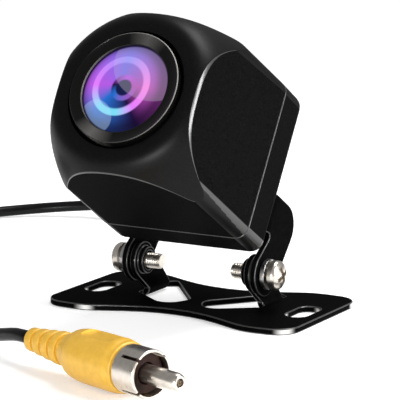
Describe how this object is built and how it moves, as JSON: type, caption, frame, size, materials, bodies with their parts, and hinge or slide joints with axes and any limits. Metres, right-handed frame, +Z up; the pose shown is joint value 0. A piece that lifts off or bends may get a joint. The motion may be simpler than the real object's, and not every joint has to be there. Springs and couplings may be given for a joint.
{
  "type": "backup camera",
  "caption": "Square dome-nosed reversing camera on a tilting yoke and stamped base plate, with its lead coiled and ending in a video plug.",
  "frame": {"origin": "middle of the base plate's underside", "axes": "+X to the right seen from the front, -Y towards the front, +Z up"},
  "size_m": [0.1246, 0.1311, 0.0574],
  "materials": {
    "black_paint": "satin",
    "matt_black_housing": "matt",
    "gloss_black_bezel": "gloss",
    "nickel_steel": "polished",
    "spring_steel": "satin",
    "coated_glass": "polished",
    "filter_glass": "polished",
    "black_rubber": "matt",
    "board_green": "satin",
    "sensor_grey": "gloss",
    "white_plastic": "satin",
    "black_cord": "satin",
    "yellow_plug": "satin",
    "brown_insulator": "satin"
  },
  "bodies": {
    "bracket": {"base_plate": "black_paint", "lead": "black_cord", "lead_coil": "black_cord", "coil_tie": "matt_black_housing", "lead_end": "black_cord", "plug_body": "yellow_plug", "plug_shell": "nickel_steel", "plug_insulator": "brown_insulator", "plug_pin": "nickel_steel"},
    "camera": {"yoke": "black_paint", "yoke_screw_left": "spring_steel", "yoke_screw_right": "spring_steel", "front_housing": "matt_black_housing", "rear_cover": "matt_black_housing", "housing_gasket": "black_rubber", "cover_screw_top_right": "spring_steel", "cover_screw_top_left": "spring_steel", "cover_screw_bottom_left": "spring_steel", "cover_screw_bottom_right": "spring_steel", "lens_bezel": "gloss_black_bezel", "cover_glass": "coated_glass", "lens_oring": "black_rubber", "lens_barrel": "gloss_black_bezel", "second_lens": "coated_glass", "rear_lens": "coated_glass", "ir_filter": "filter_glass", "lens_holder": "matt_black_housing", "image_sensor": "sensor_grey", "circuit_board": "board_green", "board_screw_lower": "spring_steel", "board_screw_upper": "spring_steel", "board_connector": "white_plastic", "inner_lead": "black_cord", "cable_gland": "black_rubber"},
    "left_screw": {"hinge_screw_left": "nickel_steel", "lock_washer_left": "spring_steel"},
    "right_screw": {"hinge_screw_right": "nickel_steel", "lock_washer_right": "spring_steel"}
  },
  "joints": [
    {"name": "camera_tilt", "type": "hinge", "parent": "bracket", "child": "camera", "pos_m": [0, -0.0013, 0.0078], "axis": [-1, 0, 0], "range_deg": [-40, 40], "deforming": ["lead"]},
    {"name": "left_screw_turn", "type": "hinge", "parent": "bracket", "child": "left_screw", "pos_m": [0, -0.0013, 0.0078], "axis": [-1, 0, 0], "continuous": true},
    {"name": "right_screw_turn", "type": "hinge", "parent": "bracket", "child": "right_screw", "pos_m": [0, -0.0013, 0.0078], "axis": [1, 0, 0], "continuous": true}
  ]
}
